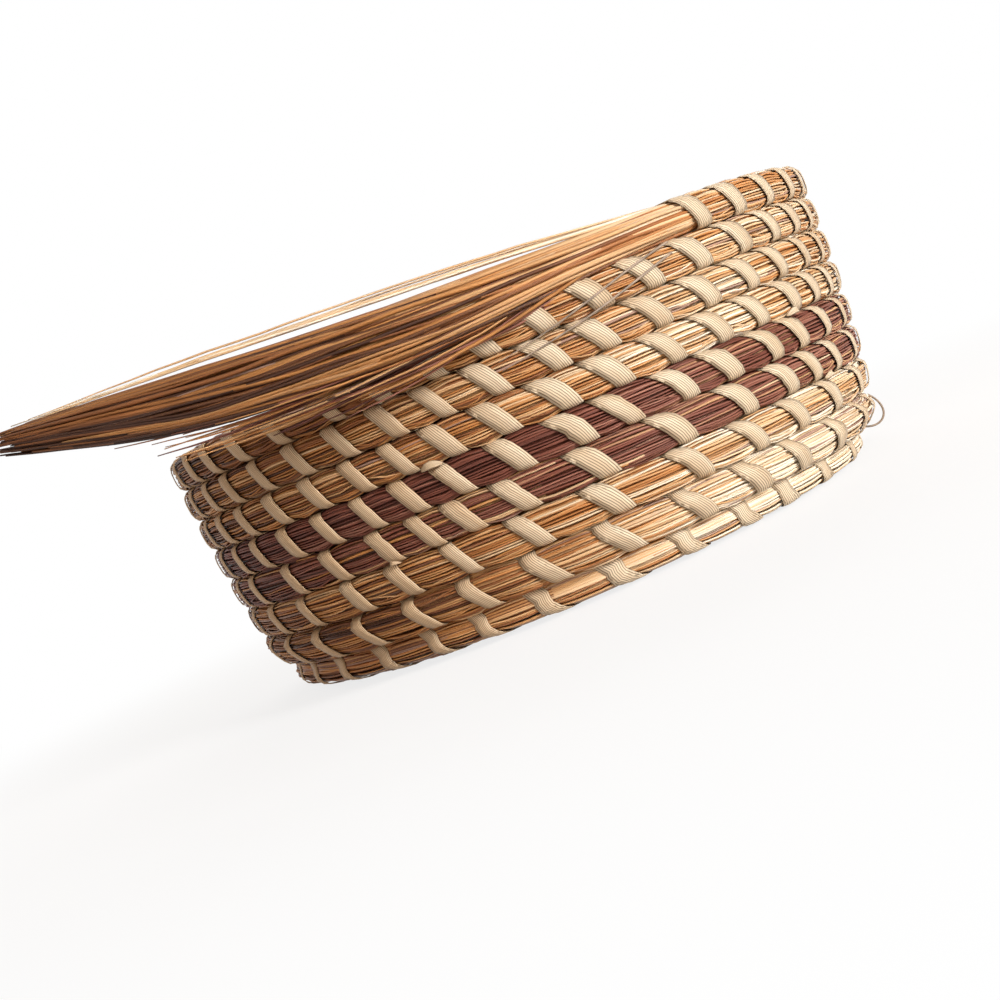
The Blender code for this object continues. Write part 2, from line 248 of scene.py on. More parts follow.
class Value:
    def __init__(self, socket):
        self.socket = socket

    def join(self, operation, first, second):
        if self.socket.type in ("VECTOR", "RGBA"):
            return vectorCalc("SCALE" if operation == "MULTIPLY" else operation, first, second)
        return calc(operation, first, second)

    def __add__(self, other):
        return self.join("ADD", self, other)

    def __sub__(self, other):
        return self.join("SUBTRACT", self, other)

    def __rsub__(self, other):
        return self.join("SUBTRACT", other, self)

    def __mul__(self, other):
        return self.join("MULTIPLY", self, other)

    def __truediv__(self, other):
        return self.join("DIVIDE", self, other)


def plug(socket, value):
    if isinstance(value, Value):
        building["tree"].links.new(value.socket, socket)
    elif value is not None:
        socket.default_value = value


def addNode(kind, inputs=None, **settings):
    node = building["tree"].nodes.new(kind)
    for name, value in settings.items():
        setattr(node, name, value)
    for name, value in (inputs or {}).items():
        plug(node.inputs[name], value)
    return node


def fromNode(kind, inputs=None, output=0, **settings):
    return Value(addNode(kind, inputs, **settings).outputs[output])


def calc(operation, *values, clamp=False):
    return fromNode("ShaderNodeMath", dict(enumerate(values)), operation=operation, use_clamp=clamp)


def vectorCalc(operation, first, second):
    return fromNode("ShaderNodeVectorMath", {0: first, "Scale" if operation == "SCALE" else 1: second},
                    operation=operation)


def mapRange(value, low, high, newLow=0.0, newHigh=1.0, kind="LINEAR"):
    return fromNode("ShaderNodeMapRange", dict(enumerate((value, low, high, newLow, newHigh))),
                    interpolation_type=kind)


def combine(x, y, z):
    return fromNode("ShaderNodeCombineXYZ", {0: x, 1: y, 2: z})


def noise(vector, detail, scale=1.0):
    return fromNode("ShaderNodeTexNoise", {"Vector": vector, "Scale": scale, "Detail": detail})


def chanceOf(x, y, z):
    return fromNode("ShaderNodeTexWhiteNoise", {"Vector": combine(x, y, z)}, "Value", noise_dimensions="3D")


def mixColor(share, first, second):
    first, second = [(*color, 1) if isinstance(color, tuple) else color for color in (first, second)]
    return fromNode("ShaderNodeMix", {0: share, 6: first, 7: second}, 2, data_type="RGBA")


def colorRamp(value, stops):
    node = addNode("ShaderNodeValToRGB", {0: value})
    elements = node.color_ramp.elements
    while len(elements) < len(stops):
        elements.new(0.5)
    for element, (place, color) in zip(elements, stops):
        element.position = place
        element.color = (*color, 1)
    return Value(node.outputs[0])


def readValue(name, kind="FLOAT"):
    return fromNode("GeometryNodeInputNamedAttribute", {"Name": name}, data_type=kind)


def storeValue(geometry, name, value, kind="FLOAT"):
    return fromNode("GeometryNodeStoreNamedAttribute", {"Geometry": geometry, "Name": name, "Value": value},
                    data_type=kind, domain="POINT")


def moveBy(geometry, offset):
    return fromNode("GeometryNodeSetPosition", {"Geometry": geometry, "Offset": offset})


def toCurve(mesh):
    return fromNode("GeometryNodeMeshToCurve", {"Mesh": mesh})


def copyCurve(curve, amount):
    copies = addNode("GeometryNodeDuplicateElements", {"Geometry": curve, "Amount": amount}, domain="SPLINE").outputs
    return Value(copies[0]), Value(copies["Duplicate Index"])


def sweep(curves, sides, radius):
    section = fromNode("GeometryNodeCurvePrimitiveCircle", {"Resolution": sides, "Radius": 1.0})
    return fromNode("GeometryNodeCurveToMesh", {"Curve": curves, "Profile Curve": section, "Scale": radius})


# the tree's inputs are the geometry, the named sizes and the material
def startTree(name, sizes):
    tree = building["tree"] = bpy.data.node_groups.new(name, "GeometryNodeTree")
    tree.is_modifier = True
    tree.interface.new_socket("Geometry", in_out="INPUT", socket_type="NodeSocketGeometry")
    for label, value in sizes.items():
        kind = "NodeSocketInt" if isinstance(value, int) else "NodeSocketFloat"
        tree.interface.new_socket(label, in_out="INPUT", socket_type=kind).default_value = value
    tree.interface.new_socket("Material", in_out="INPUT", socket_type="NodeSocketMaterial")
    tree.interface.new_socket("Geometry", in_out="OUTPUT", socket_type="NodeSocketGeometry")
    return {socket.name: Value(socket) for socket in tree.nodes.new("NodeGroupInput").outputs}


def endTree(geometry, material):
    realized = fromNode("GeometryNodeRealizeInstances", {0: geometry})
    finished = fromNode("GeometryNodeSetMaterial", {"Geometry": realized, "Material": material})
    plug(building["tree"].nodes.new("NodeGroupOutput").inputs[0], finished)
    return building["tree"]


def startMaterial(name):
    material = bpy.data.materials.new(name)
    material.use_nodes = True
    building["tree"] = material.node_tree
    return material, material.node_tree.nodes["Principled BSDF"].inputs


def setSurface(shader, color, look, height=None):
    plug(shader["Base Color"], color)
    plug(shader["Roughness"], look["roughness"])
    plug(shader["Specular IOR Level"], look["shine"])
    if height:
        bump = {"Strength": look["bump"], "Distance": look["bumpDepth"], "Height": height}
        plug(shader["Normal"], fromNode("ShaderNodeBump", bump))


def meshValue(name, output="Fac"):
    return fromNode("ShaderNodeAttribute", None, output, attribute_name=name)


def separate(vector):
    return [Value(part) for part in addNode("ShaderNodeSeparateXYZ", {0: vector}).outputs]


def objectSpot():
    return fromNode("ShaderNodeTexCoord", None, "Object")


# 1 where the eye, a mirror image or a view through something meets it
def seenDirectly():
    seen = addNode("ShaderNodeLightPath").outputs
    eye, mirrored, through = [Value(seen[ray]) for ray in ("Is Camera Ray", "Is Glossy Ray", "Is Transmission Ray")]
    return calc("MAXIMUM", eye, calc("MAXIMUM", mirrored, through))


# Paths of points with named values, and the pieces grown on them

def newObject(name, data):
    obj = bpy.data.objects.new(name, data)
    bpy.context.collection.objects.link(obj)
    return obj


def makeWire(name, points, edges, values):
    mesh = bpy.data.meshes.new(name)
    mesh.from_pydata([tuple(point) for point in points], edges, [])
    for key, data in values.items():
        data = np.asarray(data, np.float32)
        layer = mesh.attributes.new(key, "FLOAT_VECTOR" if data.ndim == 2 else "FLOAT", "POINT")
        layer.data.foreach_set("vector" if data.ndim == 2 else "value", data.ravel())
    return newObject(name, mesh)


def makePath(name, points, values):
    return makeWire(name, points, [(i, i + 1) for i in range(len(points) - 1)], values)


triangleCounts = []


# Run a tree on an object and keep what it makes as a plain closed mesh
def growPiece(obj, tree, values, material):
    modifier = obj.modifiers.new(tree.name, "NODES")
    modifier.node_group = tree
    values = {**values, "Material": material}
    for item in tree.interface.items_tree:
        if item.in_out == "INPUT" and item.name in values:
            modifier[item.identifier] = values[item.name]
    graph = bpy.context.evaluated_depsgraph_get()
    mesh = bpy.data.meshes.new_from_object(obj.evaluated_get(graph), preserve_all_data_layers=True,
                                           depsgraph=graph)
    obj.modifiers.clear()
    path = obj.data
    obj.data = mesh
    mesh.name = obj.name
    bpy.data.meshes.remove(path)
    mesh.materials.clear()
    mesh.materials.append(material)
    bm = bmesh.new()
    bm.from_mesh(mesh)
    bmesh.ops.dissolve_degenerate(bm, dist=1e-7, edges=bm.edges)
    for face in bm.faces:
        face.smooth = True
        face.material_index = 0
    ends = bmesh.ops.holes_fill(bm, edges=[edge for edge in bm.edges if edge.is_boundary], sides=12)["faces"]
    for face in ends:
        face.smooth = False
    bmesh.ops.recalc_face_normals(bm, faces=bm.faces)
    bm.to_mesh(mesh)
    bm.free()
    triangleCounts.append(sum(len(polygon.vertices) - 2 for polygon in mesh.polygons))
    print(" ", obj.name, triangleCounts[-1], "triangles")
    return obj


# a piece that stays with the basket's body
def rideBasket(piece, nodes):
    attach(piece, "basket")
    if nodes:
        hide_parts(*nodes)


# Grass

grassColors = {
    "whitish": (0.84, 0.75, 0.61),
    "straw": (0.75, 0.58, 0.385),
    "golden": (0.62, 0.37, 0.175),
    "amber": (0.50, 0.215, 0.062),
    "russet": (0.33, 0.120, 0.038),
    "brown": (0.155, 0.056, 0.022),
    "deepBrown": (0.060, 0.022, 0.011),
    "mauve": (0.34, 0.205, 0.155),
    "maroon": (0.185, 0.058, 0.036),
    "deepMaroon": (0.070, 0.020, 0.014),
    "rosyBrown": (0.36, 0.160, 0.110),
    "roughness": 0.5, "shine": 0.26, "grain": 1400.0, "bump": 0.25, "bumpDepth": 0.0002,
    # how much the colour shifts within a blade, from blade to blade, and with paleness, which holds the painted
    # light and shade
    "patchShare": 0.8, "pickShare": 0.64, "paleShare": -0.46, "middle": 0.38, "mauveAbove": 0.94,
    "streaks": (0.76, 1.20),
    "deepestShade": 0.55,         # painted shade: gain where the paleness is least
}


def makeGrassMaterial():
    material, shader = startMaterial("grassBlades")
    c = grassColors
    along, blade, phase = separate(meshValue("bladePlace", "Vector"))
    darkness, pale = meshValue("darkShare"), meshValue("pale")

    # each blade shows for two or three stitches, and another one takes over under a strip
    lag = calc("FLOOR", chanceOf(blade, 3.1, 0.0) * 3.0)
    stretch = calc("FLOOR", (calc("FLOOR", phase) + lag) / 3.0)
    pick = chanceOf(blade, stretch, 7.7)
    patch = noise(combine(along * 9.0, blade * 0.12, 0.0), 3.0)
    # paleness holds painted light and shade: the grass, the dark blades too, is paler where lit and deeper on the
    # shaded side; on strays and knot it also holds their own tone
    shifted = calc("ADD", (patch - 0.5) * c["patchShare"] + pick * c["pickShare"],
                   pale * c["paleShare"] + c["middle"], clamp=True)
    light = colorRamp(shifted, ((0.0, c["whitish"]), (0.12, c["straw"]), (0.34, c["golden"]), (0.58, c["amber"]),
                                (0.72, c["russet"]), (0.86, c["brown"]), (1.0, c["deepBrown"])))
    light = mixColor(calc("GREATER_THAN", chanceOf(blade, stretch, 5.3), c["mauveAbove"]), light, c["mauve"])
    rosy = calc("MULTIPLY_ADD", pick, 0.78, pale * 0.26, clamp=True)
    dark = colorRamp(rosy, ((0.0, c["deepMaroon"]), (0.30, c["maroon"]), (0.62, c["maroon"]),
                            (0.86, c["rosyBrown"]), (1.0, c["golden"])))
    isDark = calc("GREATER_THAN", darkness, chanceOf(blade, stretch, 1.9) * 0.96 + 0.02)

    # fine streaks that run along the blade
    streak = noise(combine(along * 70.0, blade * 9.0, 0.0), 4.0)
    # painted shade: blades darken where the paleness is low
    gain = mapRange(streak, 0.3, 0.7, *c["streaks"]) * mapRange(pale, -0.55, 0.10, c["deepestShade"], 1.0)
    setSurface(shader, mixColor(isDark, light, dark) * gain, c, noise(objectSpot(), 2.0, c["grain"]))
    return material


bundle = {
    "Blades": 62,
    "Crossing Blades": 16,      # of those, thin ones that run askew over the others
    "Half Width": 0.00405,      # across the wall
    "Half Height": 0.00422,     # towards the next row
    "Blade Radius": 0.00035,
    "Wander": 0.017,
    "Pinch Width": 0.00042,
    "Pinch Height": 0.00040,
    "Cut Phase": -9.0,          # blades end at this stitch
}


# what the tree needs besides: two cores, where a stitch pinches the row and lets go, how proud blades stand
bundleInside = {
    "coreSides": 10, "coreRadius": 0.00292, "coreApart": 0.0018, "coreNumber": 93.0,
    "pinchNear": 0.0014, "pinchFar": 0.0052,
    "drift": 52.0, "lift": 45.0,         # waves to the metre, sideways and outwards
    "liftBy": 0.0009, "layers": 0.00026, "crossingProud": 0.00030,
}


def makeBundleTree():
    given = startTree("grassBundle", bundle)
    b, band, bow = bundleInside, stitching["band"], stitching["bow"]
    course = toCurve(given["Geometry"])
    copies, number = copyCurve(course, given["Blades"])
    along, phase, slant = readValue("along"), readValue("phase"), readValue("slantShare")
    faceOut, stackUp = readValue("faceOut", "FLOAT_VECTOR"), readValue("stackUp", "FLOAT_VECTOR")
    flatten = readValue("flatten")

    # place round the row, in turns, that drifts along the coil
    crossing = calc("GREATER_THAN", number + given["Crossing Blades"], given["Blades"] - 0.5)
    drift = noise(combine(along * b["drift"], number * 5.7, 0.0), 1.0)
    start = (number + chanceOf(number, 4.4, 0.0)) / (given["Blades"] - given["Crossing Blades"])
    start = start + crossing * chanceOf(number, 6.1, 2.0)
    drifted = (drift - 0.5) * (given["Wander"] * (crossing * 13.0 + 4.0)) + start
    around = drifted - calc("ROUND", drifted)

    # how far the strip has run on at that place, as in stripAdvance
    fall = calc("DIVIDE", band - around, 2 * band, clamp=True)
    outside = slant * (fall * (fall * -bow + (1 + bow)) - 0.5)
    upper = calc("DIVIDE", around - 0.25, 0.25, clamp=True)
    lower = calc("DIVIDE", -0.25 - around, 0.25, clamp=True)
    own = phase - (outside + (slant * -0.5 + 0.5) * (lower - upper))
    distance = calc("ABSOLUTE", own - calc("ROUND", own)) * readValue("spacing")
    pinch = mapRange(distance, b["pinchNear"], b["pinchFar"], 1.0, 0.0, "SMOOTHSTEP")

    # how far the blade stands proud of the row's face
    lift = noise(combine(along * b["lift"], number * 3.3, 9.0), 2.0)
    layer = crossing * b["crossingProud"] + (chanceOf(number, 8.8, 1.0) * b["layers"] - b["layers"])
    proud = (lift - 0.5) * b["liftBy"] + layer
    proud = proud * ((1.0 - pinch) * 0.82 + 0.18) - given["Blade Radius"]
    cosine, sine = calc("COSINE", around * math.tau), calc("SINE", around * math.tau)
    power = coil["squarePower"]
    square = calc("POWER", calc("ABSOLUTE", cosine), power) + calc("POWER", calc("ABSOLUTE", sine), power)
    square = calc("POWER", square, -1 / power)
    width = (given["Half Width"] - given["Pinch Width"] * pinch + proud) * flatten * square
    height = (given["Half Height"] - given["Pinch Height"] * pinch + proud) * square
    blades = moveBy(copies, faceOut * (cosine * width) + stackUp * (sine * height))
    blades = storeValue(blades, "bladePlace", combine(along, number, own), "FLOAT_VECTOR")
    size = chanceOf(number, 2.2, 5.0) * 0.55 + 0.75 - crossing * 0.38
    blades = storeValue(blades, "bladeSize", size * given["Blade Radius"])
    ended = calc("LESS_THAN", own, given["Cut Phase"])
    blades = fromNode("GeometryNodeDeleteGeometry", {"Geometry": blades, "Selection": ended}, domain="POINT")

    cores, coreNumber = copyCurve(course, 2)
    cores = moveBy(cores, stackUp * (coreNumber * b["coreApart"] - b["coreApart"] / 2))
    cores = storeValue(cores, "bladePlace", combine(along, b["coreNumber"], phase), "FLOAT_VECTOR")
    joined = addNode("GeometryNodeJoinGeometry")
    plug(joined.inputs[0], sweep(blades, 3, readValue("bladeSize")))
    plug(joined.inputs[0], sweep(cores, b["coreSides"], calc("POWER", flatten, 2.0) * b["coreRadius"]))
    return endTree(Value(joined.outputs[0]), given["Material"])


def makeCoursePath(name, start, end, step):
    length = math.tau * float(courseRadius((start + end) / 2)) * (end - start)
    turns = np.linspace(start, end, max(round(length / step), 12))
    _, faceOut, stackUp = courseFrame(turns)
    lengths = math.tau * (courseRadius(turns) * turns + 4 * coil["rowPitch"])
    return makePath(name, coursePoint(turns), {
        "faceOut": faceOut, "stackUp": stackUp, "phase": stitchPhase(turns), "spacing": stitchSpacing(turns),
        "slantShare": slantAt(turns), "along": lengths,
        "darkShare": np.interp(turns, darkPlaces, darkShares), "pale": paintedLightAndPatchesAt(turns),
        "flatten": flattenAt(turns, coil["grassFlatter"])})


grassMaterial = makeGrassMaterial()
bundleTree = makeBundleTree()
rows = (("lower_wall_row", coil["darkEnd"], coil["baseStart"], 4, "golden_grass"),
        ("dark_band_row", coil["darkStart"], coil["darkEnd"], 2, "dark_grass"),
        ("upper_wall_row", 0.0, coil["darkStart"], 4, "golden_grass"))
pathSteps = {"wall": 0.0022, "base": 0.0038, "knot": 0.0020, "pastRim": 0.008}


def growRow(node, start, end, step, values=bundle):
    path = makeCoursePath(node + "_blades", start, end, step)
    rideBasket(growPiece(path, bundleTree, values, grassMaterial), [node])


for rowName, rowStart, rowEnd, rowCount, slotName in rows:
    share = (rowEnd - rowStart) / rowCount
    for number in range(rowCount):
        start = rowEnd - (number + 1) * share
        atRim = start < 0.001
        growRow(f"{rowName}_{number + 1}", start - pathSteps["pastRim"] * atRim, rowEnd - number * share,
                pathSteps["wall"], {**bundle, "Cut Phase": 0.0} if atRim else bundle)
growRow("base_coil", coil["baseStart"], coil["knotStart"], pathSteps["base"])
growRow("start_knot", coil["knotStart"], coil["coilEnd"], pathSteps["knot"])
print("grass rows made")


# Sewing strips

strip = {"Width": 0.0046, "Thickness": 0.00034, "Ribs": 9, "Rib Depth": 0.00014}
stripColors = {"pale": (0.76, 0.635, 0.465), "tan": (0.64, 0.485, 0.315), "grooveShade": (0.12, 0.064, 0.030),
               "paintedShade": (0.84, 0.71, 0.58), "roughness": 0.55, "shine": 0.35, "bump": 0.35, "bumpDepth": 0.0001}
# how the strips lie on the rows: middle of their thickness, how deep they dive into the creases
stripFit = {"radius": 0.00397, "tuck": 0.00022, "steps": 20, "widths": (0.88, 1.12)}


def makeStripMaterial():
    material, shader = startMaterial("palmStrip")
    along, across, strand = separate(meshValue("stripPlace", "Vector"))
    fibre = noise(combine(along * 160.0, across * 26.0, strand), 4.0)
    patch = noise(combine(along * 22.0, across * 1.5, strand), 3.0)
    base = mixColor(mapRange(patch, 0.35, 0.72), stripColors["pale"], stripColors["tan"])
    # painted shade: the grooves between the ribs are darkened
    rib = calc("ABSOLUTE", calc("SINE", (across + 0.5) * (math.pi * strip["Ribs"])))
    color = mixColor(mapRange(rib, 0.05, 0.85, 1.0, 0.0), base, stripColors["grooveShade"])
    # painted shade: where the paleness is low, on the shaded side, the strips are darkened and warmed
    paintedShade = vectorCalc("MULTIPLY", color, stripColors["paintedShade"])
    color = mixColor(mapRange(meshValue("pale"), 0.0, 0.45, 1.0, 0.0), color, paintedShade)
    setSurface(shader, color * mapRange(fibre, 0.3, 0.7, 0.86, 1.1), stripColors, fibre)
    return material


def makeStripTree():
    given = startTree("ribbedStrip", {"Path Points": 20, **strip})
    topSteps = given["Ribs"] * 2.0
    columns = topSteps + 4.0
    grid = fromNode("GeometryNodeMeshGrid", {"Vertices X": given["Path Points"], "Vertices Y": columns})
    index = fromNode("GeometryNodeInputIndex")
    row = calc("FLOOR", (index + 0.5) / columns)
    column = index - row * columns

    # closed section: ribbed top, then back along the underside to the first edge
    under = calc("DIVIDE", column - topSteps, 3.0, clamp=True)
    across = calc("DIVIDE", column, topSteps, clamp=True) - under - 0.5
    below = calc("GREATER_THAN", under, 0.1) * calc("LESS_THAN", under, 0.9)
    crest = calc("GREATER_THAN", calc("MODULO", column + 0.1, 2.0), 0.5) * calc("LESS_THAN", column, topSteps)
    rise = (crest - 1.0) * given["Rib Depth"] * (1.0 - below) - below * given["Thickness"]

    def sample(value, kind):
        return fromNode("GeometryNodeSampleIndex", {"Geometry": given["Geometry"], "Value": value, "Index": row},
                        data_type=kind, domain="POINT")

    def sampleNamed(name, kind="FLOAT"):
        return sample(readValue(name, kind), kind)

    spot = sample(fromNode("GeometryNodeInputPosition"), "FLOAT_VECTOR")
    right, left, outer = [sampleNamed(name, "FLOAT_VECTOR") for name in ("rightEdge", "leftEdge", "outer")]
    x = across * 2.0 * given["Width"]
    even = (right - left) * (x * 0.5)
    sunk = (right + left) * (x * (across * 2.0) * 0.5)
    position = spot + (even + sunk) + outer * (rise * calc("MINIMUM", sampleNamed("size"), 1.0))
    placed = fromNode("GeometryNodeSetPosition", {"Geometry": grid, "Position": position})
    place = combine(sampleNamed("along"), across, sampleNamed("strand"))
    placed = storeValue(placed, "stripPlace", place, "FLOAT_VECTOR")
    placed = storeValue(placed, "pale", sampleNamed("pale"))
    merged = fromNode("GeometryNodeMergeByDistance", {"Geometry": placed, "Distance": 0.000002})
    return endTree(merged, given["Material"])


def makeStripPath(name, firstStitch, lastStitch, seed):
    chance = np.random.default_rng(seed)
    phases, arounds = [], []

    def follow(number, fromPlace=0.5, toPlace=-0.5, keepLast=False):
        count = max(round(abs(fromPlace - toPlace) * stripFit["steps"]), 2)
        places = np.linspace(fromPlace, toPlace, count + 1)
        for place in places if keepLast else places[:-1]:
            share = float(slantAt(float(phaseTurns(number))))
            phases.append(number + float(stripAdvance(place, share)))
            arounds.append(place)

    if firstStitch == 0:
        follow(0, 0.43)
    else:
        follow(firstStitch - 1, -0.25)
        follow(firstStitch)
    for number in range(firstStitch + 1, lastStitch):
        follow(number)
    follow(lastStitch, 0.5, -0.25, True)
    phases, arounds = np.array(phases), np.array(arounds)

    def onRow(places, angle):
        turns = phaseTurns(places)
        _, faceOut, stackUp = courseFrame(turns)
        tuck = np.abs(np.sin(angle)) ** 6
        flat = flattenAt(turns, coil["stripsFlatter"])
        radius = (stripFit["radius"] - stripFit["tuck"] * tuck) * squareness(angle)
        return coursePoint(turns) + (faceOut * (np.cos(angle) * radius * flat)[:, None]
                                     + stackUp * (np.sin(angle) * radius)[:, None])

    angle = arounds * math.tau
    points = onRow(phases, angle)
    forward = (onRow(phases + 0.02, angle) - onRow(phases - 0.02, angle)) / 0.04
    upward = (onRow(phases, angle + 0.02) - onRow(phases, angle - 0.02)) / 0.04
    ahead = unit(np.gradient(points, axis=0))
    outer = unit(np.cross(upward, forward))
    side = unit(np.cross(ahead, outer))
    outer = np.cross(side, ahead)
    lengths = lengthsAlong(points)
    stitchNumber = np.round(phases).astype(int)
    widths = chance.uniform(*stripFit["widths"], stitchNumber.max() + 3)
    size = np.interp(phases, np.arange(len(widths)), widths) * roundTheWall(phaseTurns(phases), stripShares)
    size[0] = size[-1] = 0
    # both edges lie on the row's face; kept as vectors for a strip as wide as "Width" says
    half = strip["Width"] / 2 * size
    alongStep = half * np.sum(side * unit(forward), axis=1) / np.linalg.norm(forward, axis=1)
    turnStep = half * np.sum(side * unit(upward), axis=1) / np.linalg.norm(upward, axis=1)
    rightEdge = (onRow(phases + alongStep, angle + turnStep) - points) / strip["Width"]
    leftEdge = (onRow(phases - alongStep, angle - turnStep) - points) / strip["Width"]
    return makePath(name, points, {"rightEdge": rightEdge, "leftEdge": leftEdge, "outer": outer, "size": size,
                                   "along": lengths, "strand": np.full(len(points), float(seed) * 3.7),
                                   "pale": roundTheWall(phaseTurns(phases), paintedLightShares)})


stripMaterial = makeStripMaterial()
stripTree = makeStripTree()
wallStrips, baseStrips = 17, 8


def growStrip(path, nodes, **changes):
    sizes = {**strip, "Path Points": len(path.data.vertices), **changes}
    rideBasket(growPiece(path, stripTree, sizes, stripMaterial), nodes)


def sewStrip(name, fromTurns, toTurns, seed, nodes=None):
    numbers = np.where((stitchTurns >= fromTurns) & (stitchTurns < toTurns))[0]
    path = makeStripPath(name + "_leaf", int(numbers[0]), int(numbers[-1]), seed)
    growStrip(path, [name] if nodes is None else nodes)


for number in range(1, wallStrips + 1):
    sewStrip(f"wall_strip_{number:02d}", (number - 1) / 2, number / 2, number)
baseEdges = []
firstRadius, lastRadius = float(courseRadius(wallStrips / 2)), float(courseRadius(coil["knotStart"]))
for number in range(baseStrips + 1):
    swept = (firstRadius ** 2 - lastRadius ** 2) * number / baseStrips
    baseEdges.append(wallStrips / 2 + (firstRadius - math.sqrt(firstRadius ** 2 - swept)) / coil["rowPitch"])
for number in range(1, baseStrips + 1):
    sewStrip(f"base_strip_{number:02d}", baseEdges[number - 1], baseEdges[number], 30 + number)
sewStrip("knot_strip", coil["knotStart"], coil["coilEnd"], 50, [])

# Strip ends that curl out of the crease below a row: turns to their middle, length, width
tails = {
    "ends": ((2.865, 0.0052, 0.0018), (4.832, 0.0030, 0.0009), (3.039, 0.0050, 0.0016), (5.052, 0.0038, 0.0014)),
    "depth": 0.0031, "arch": 0.0015, "below": 0.0041, "rise": 0.0008, "ribs": 3, "points": 14,
}
for number, (middle, length, width) in enumerate(tails["ends"], 1):
    places = np.linspace(0, 1, tails["points"])
    bow = np.sin(math.pi * places)
    turns = middle + (0.5 - places) * length / (math.tau * float(courseRadius(middle)))
    _, faceOut, stackUp = courseFrame(turns)
    points = besideRow(turns, tails["depth"] + tails["arch"] * bow ** 0.8, tails["rise"] * bow - tails["below"])
    ahead = unit(np.gradient(points, axis=0))
    side = unit(np.cross(ahead, faceOut + 0.5 * stackUp))
    size = width / strip["Width"] * bow ** 0.6
    size[0] = size[-1] = 0
    path = makePath(f"strip_tail_{number}", points, {
        "rightEdge": side * size[:, None] / 2, "leftEdge": -side * size[:, None] / 2, "outer": np.cross(side, ahead),
        "size": size, "along": places * length, "strand": np.full(len(places), 300.0 + number),
        "pale": roundTheWall(turns, paintedLightShares)})
    growStrip(path, [], Ribs=tails["ribs"])
print("strips sewn")


# Working end

free = {
    "length": 0.150, "rise": 0.0133, "risePower": 2.2, "bend": math.radians(34), "bendShare": 0.75,
    "halfWidth": 0.0043, "halfHeight": 0.0049, "noseStep": 0.0034, "steps": 64,
    "insideTurns": 0.030,    # how far the loose blades reach back into the row
    "insideSteps": 9, "insideNarrower": 0.16,
    "places": (0.0, 0.12, 0.30, 0.48, 0.70, 0.85, 0.95, 1.0),
    "widths": (0.88, 0.88, 0.97, 1.0, 0.92, 0.72, 0.50, 0.34),
    "heights": (0.76, 0.80, 0.95, 1.0, 0.98, 0.78, 0.54, 0.36),
    # painted light and shade along the working end: pale where it leaves the rim, deep brown towards its far end
    "paintedLightAlong": (0.72, 0.50, 0.08, -0.18, -0.38, -0.45, -0.50, -0.5),
}


leaving = Vector((math.sin(coil["endAngle"]), -math.cos(coil["endAngle"]), 0))


def freeRoute():
    spot = Vector(coursePoint(0.0)) + leaving * free["noseStep"]
    heading = math.atan2(leaving.y, leaving.x)
    level = spot.z
    inside = np.linspace(free["insideTurns"], 0.0, free["insideSteps"])
    _, faceOut, _ = courseFrame(inside)
    points = [tuple(point) for point in coursePoint(inside)]
    sides = [tuple(side) for side in faceOut]
    shares = [-float(turn) * math.tau * coil["rimRadius"] / free["length"] for turn in inside]
    turned = heading
    for i in range(free["steps"] + 1):
        share = i / free["steps"]
        if i:
            done = min((i - 0.5) / free["steps"] / free["bendShare"], 1)
            turned = heading - free["bend"] * (1 - (1 - done) ** 2)
            spot = spot + Vector((math.cos(turned), math.sin(turned), 0)) * (free["length"] / free["steps"])
        points.append((spot.x, spot.y, level + free["rise"] * share ** free["risePower"]))
        sides.append((-math.sin(turned), math.cos(turned), 0))
        shares.append(share + 0.02)
    return np.array(points), np.array(sides), np.array(shares)


loose = {"Blades": 180, "Blade Radius": 0.00043, "Wander": 0.0011, "Least Length": 0.80, "Droop": 0.0034}
# blades start on a spiral of so many turns; one in ten ends early; how fast they wave and thin out
looseInside = {"spiral": 7.0, "shortAbove": 0.9, "shorter": 0.28, "waves": 3.2, "swing": 1.1, "taper": 0.16,
               "thinnest": 0.18}


def makeLooseTree():
    given = startTree("looseBlades", loose)
    inside = looseInside
    copies, number = copyCurve(toCurve(given["Geometry"]), given["Blades"])
    share = readValue("share")

    def draw(key):
        return chanceOf(number, key, 0.5)

    # where each blade ends, and its place in the bundle's section
    reach = mapRange(calc("POWER", draw(1.3), 0.35), 0.0, 1.0, given["Least Length"], 1.02)
    reach = reach - calc("GREATER_THAN", draw(7.1), inside["shortAbove"]) * inside["shorter"]
    spread = calc("SQRT", draw(2.6) * 0.78 + 0.22)
    drift, sway = [noise(combine(share * inside["waves"], number * 4.9, other), 1.0) - 0.5 for other in (0.0, 40.0)]
    turn = (number + draw(5.2)) / given["Blades"] * (math.tau * inside["spiral"]) + drift * inside["swing"]
    wander = given["Wander"] * mapRange(share, 0.02, 0.5, 0.15, 1.0)
    x = calc("COSINE", turn) * (spread * readValue("width")) + drift * wander

    # the middle hangs a little, most of all its lower blades
    sag = mapRange(share, 0.04, 0.50, 0.0, 1.0, "SMOOTHSTEP") * mapRange(share, 0.70, 1.0, 1.0, 0.35, "SMOOTHSTEP")
    sag = sag * given["Droop"] * mapRange(calc("SINE", turn), 1.0, -1.0, 0.25, 1.0)
    z = calc("SINE", turn) * (spread * readValue("height")) - sag + sway * wander
    blades = moveBy(copies, readValue("side", "FLOAT_VECTOR") * x + combine(0.0, 0.0, z))
    taper = calc("POWER", calc("DIVIDE", reach - share, inside["taper"], clamp=True), 0.5)
    size = (draw(3.9) * 0.5 + 0.72) * given["Blade Radius"] * calc("MAXIMUM", taper, inside["thinnest"])
    place = combine(share * 0.15, number + 200.0, share * 0.5)
    blades = storeValue(blades, "bladePlace", place, "FLOAT_VECTOR")
    blades = storeValue(blades, "bladeSize", size)
    trimmed = fromNode("GeometryNodeTrimCurve", {0: blades, "End": reach / 1.04}, mode="FACTOR")
    return endTree(sweep(trimmed, 4, readValue("bladeSize")), given["Material"])


